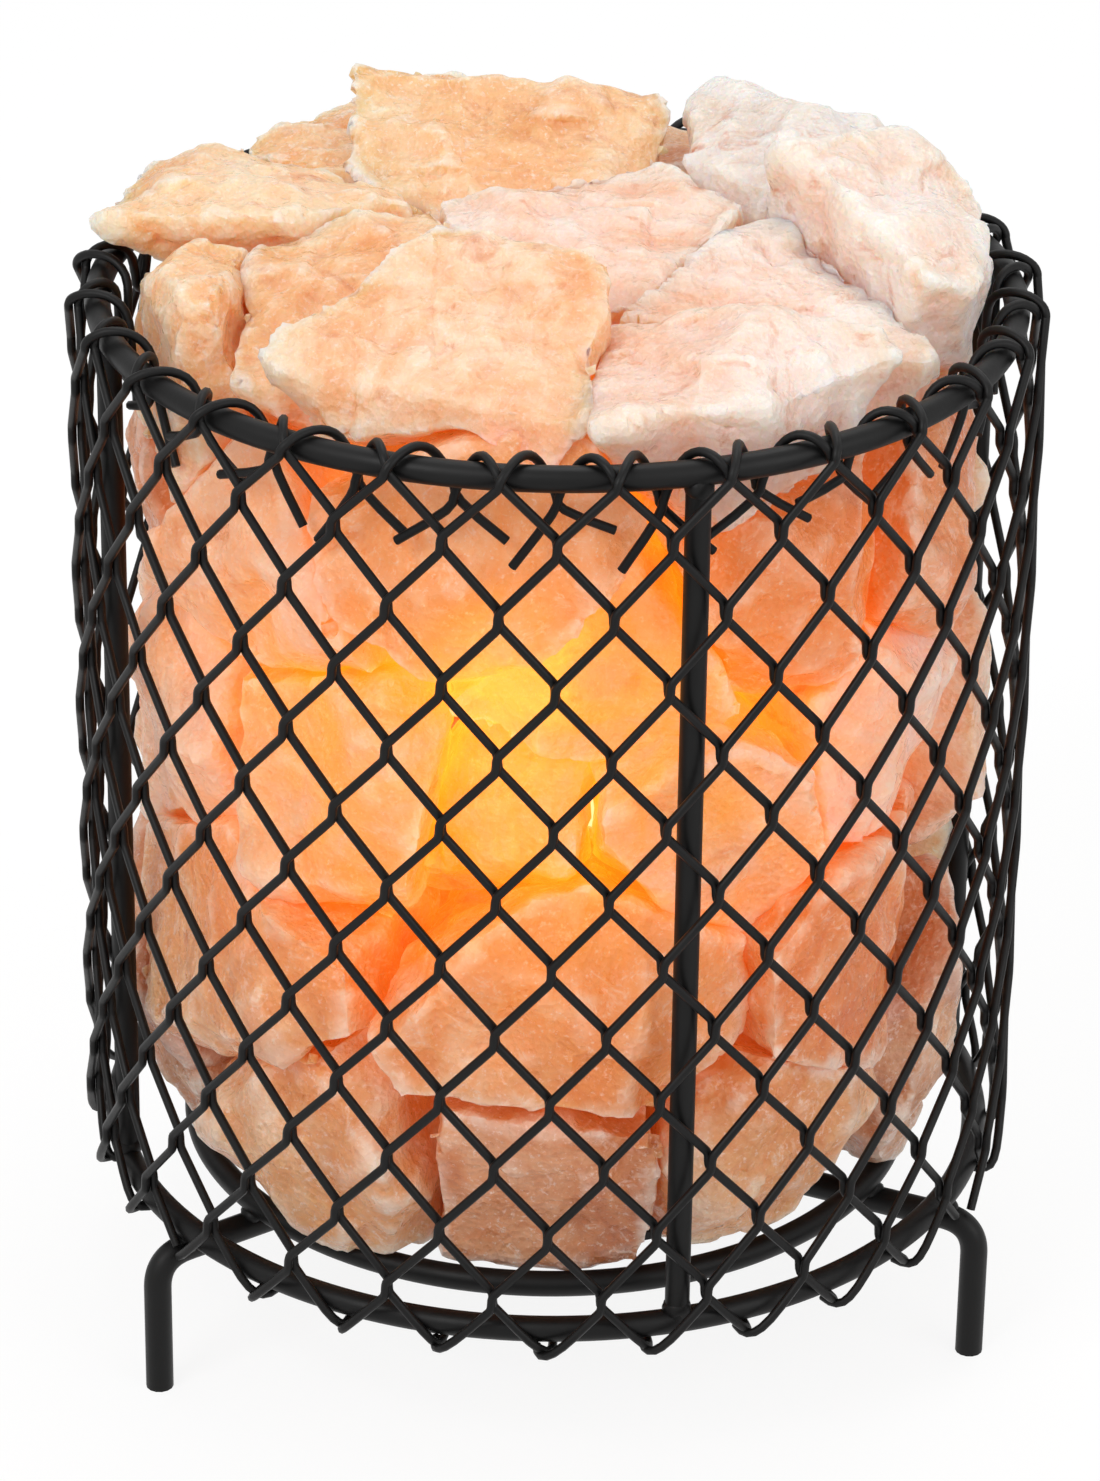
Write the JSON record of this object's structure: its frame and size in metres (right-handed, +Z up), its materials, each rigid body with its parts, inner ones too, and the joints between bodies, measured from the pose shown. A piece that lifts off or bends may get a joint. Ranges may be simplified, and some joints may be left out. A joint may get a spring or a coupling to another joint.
{
  "type": "bedside lamp",
  "caption": "Round black wire-mesh basket on bent-rod legs, heaped with orange rock salt that glows around a small screw-in bulb in a clip-in holder.",
  "frame": {"origin": "on the floor under the basket's axis", "axes": "+Z up along the basket's axis, -Y towards the front, +X to the right"},
  "size_m": [0.1578, 0.1598, 0.2037],
  "materials": {
    "frame_black": "satin",
    "plate_black": "satin",
    "mesh_black": "satin",
    "holder_plastic": "matte",
    "contact_brass": "satin",
    "clip_steel": "satin",
    "bulb_solder": "satin",
    "bulb_insulator": "gloss",
    "bulb_screw": "satin",
    "bulb_glass": "gloss",
    "filament": "satin",
    "rock_salt": "satin"
  },
  "bodies": {
    "basket": {"top_ring": "frame_black", "bottom_ring": "frame_black", "inner_ring": "frame_black", "struts": "frame_black", "legs": "frame_black", "base_plate": "plate_black", "mesh_outer": "mesh_black", "mesh_inner": "mesh_black", "salt_bottom_left": "rock_salt", "salt_bottom_front": "rock_salt", "salt_bottom_right": "rock_salt", "salt_bottom_far_right": "rock_salt", "salt_bottom_back_right": "rock_salt", "salt_bottom_back": "rock_salt", "salt_bottom_back_left": "rock_salt", "salt_bottom_far_left": "rock_salt", "salt_low_left": "rock_salt", "salt_low_front": "rock_salt", "salt_low_right": "rock_salt", "salt_mid_far_left": "rock_salt", "salt_mid_left": "rock_salt", "salt_mid_front": "rock_salt", "salt_mid_front_right": "rock_salt", "salt_mid_right": "rock_salt", "salt_mid_far_right": "rock_salt", "salt_mid_back_right": "rock_salt", "salt_mid_back": "rock_salt", "salt_mid_back_left": "rock_salt", "salt_high_left": "rock_salt", "salt_high_front_left": "rock_salt", "salt_high_front": "rock_salt", "salt_high_front_right": "rock_salt", "salt_high_right": "rock_salt", "salt_high_back_right": "rock_salt", "salt_high_back": "rock_salt", "salt_high_back_left": "rock_salt", "salt_high_far_left": "rock_salt", "salt_top_back": "rock_salt", "salt_top_left": "rock_salt", "salt_top_front_left": "rock_salt", "salt_top_inner_left": "rock_salt", "salt_top_middle": "rock_salt", "salt_top_back_right": "rock_salt", "salt_top_right": "rock_salt", "salt_top_inner_right": "rock_salt", "salt_top_front_right": "rock_salt", "salt_top_far_left": "rock_salt", "salt_top_back_left": "rock_salt", "salt_top_far_back": "rock_salt"},
    "lamp_holder": {"holder_cap": "holder_plastic", "holder_barrel": "holder_plastic", "screw_shell": "contact_brass", "centre_contact": "contact_brass", "spring_clips": "clip_steel"},
    "bulb": {"bulb_tip": "bulb_solder", "bulb_insulator": "bulb_insulator", "bulb_screw": "bulb_screw", "bulb_glass": "bulb_glass", "bulb_stem": "bulb_glass", "bulb_filament": "filament"}
  },
  "joints": [
    {"name": "holder_pull", "type": "slide", "parent": "basket", "child": "lamp_holder", "axis": [0, 0, -1], "range_m": [0, 0.11], "deforming": ["spring_clips"]},
    {"name": "bulb_unscrew", "type": "hinge", "parent": "lamp_holder", "child": "bulb", "pos_m": [0, 0, 0.05], "axis": [0, 0, 1], "range_deg": [0, 1080]}
  ]
}
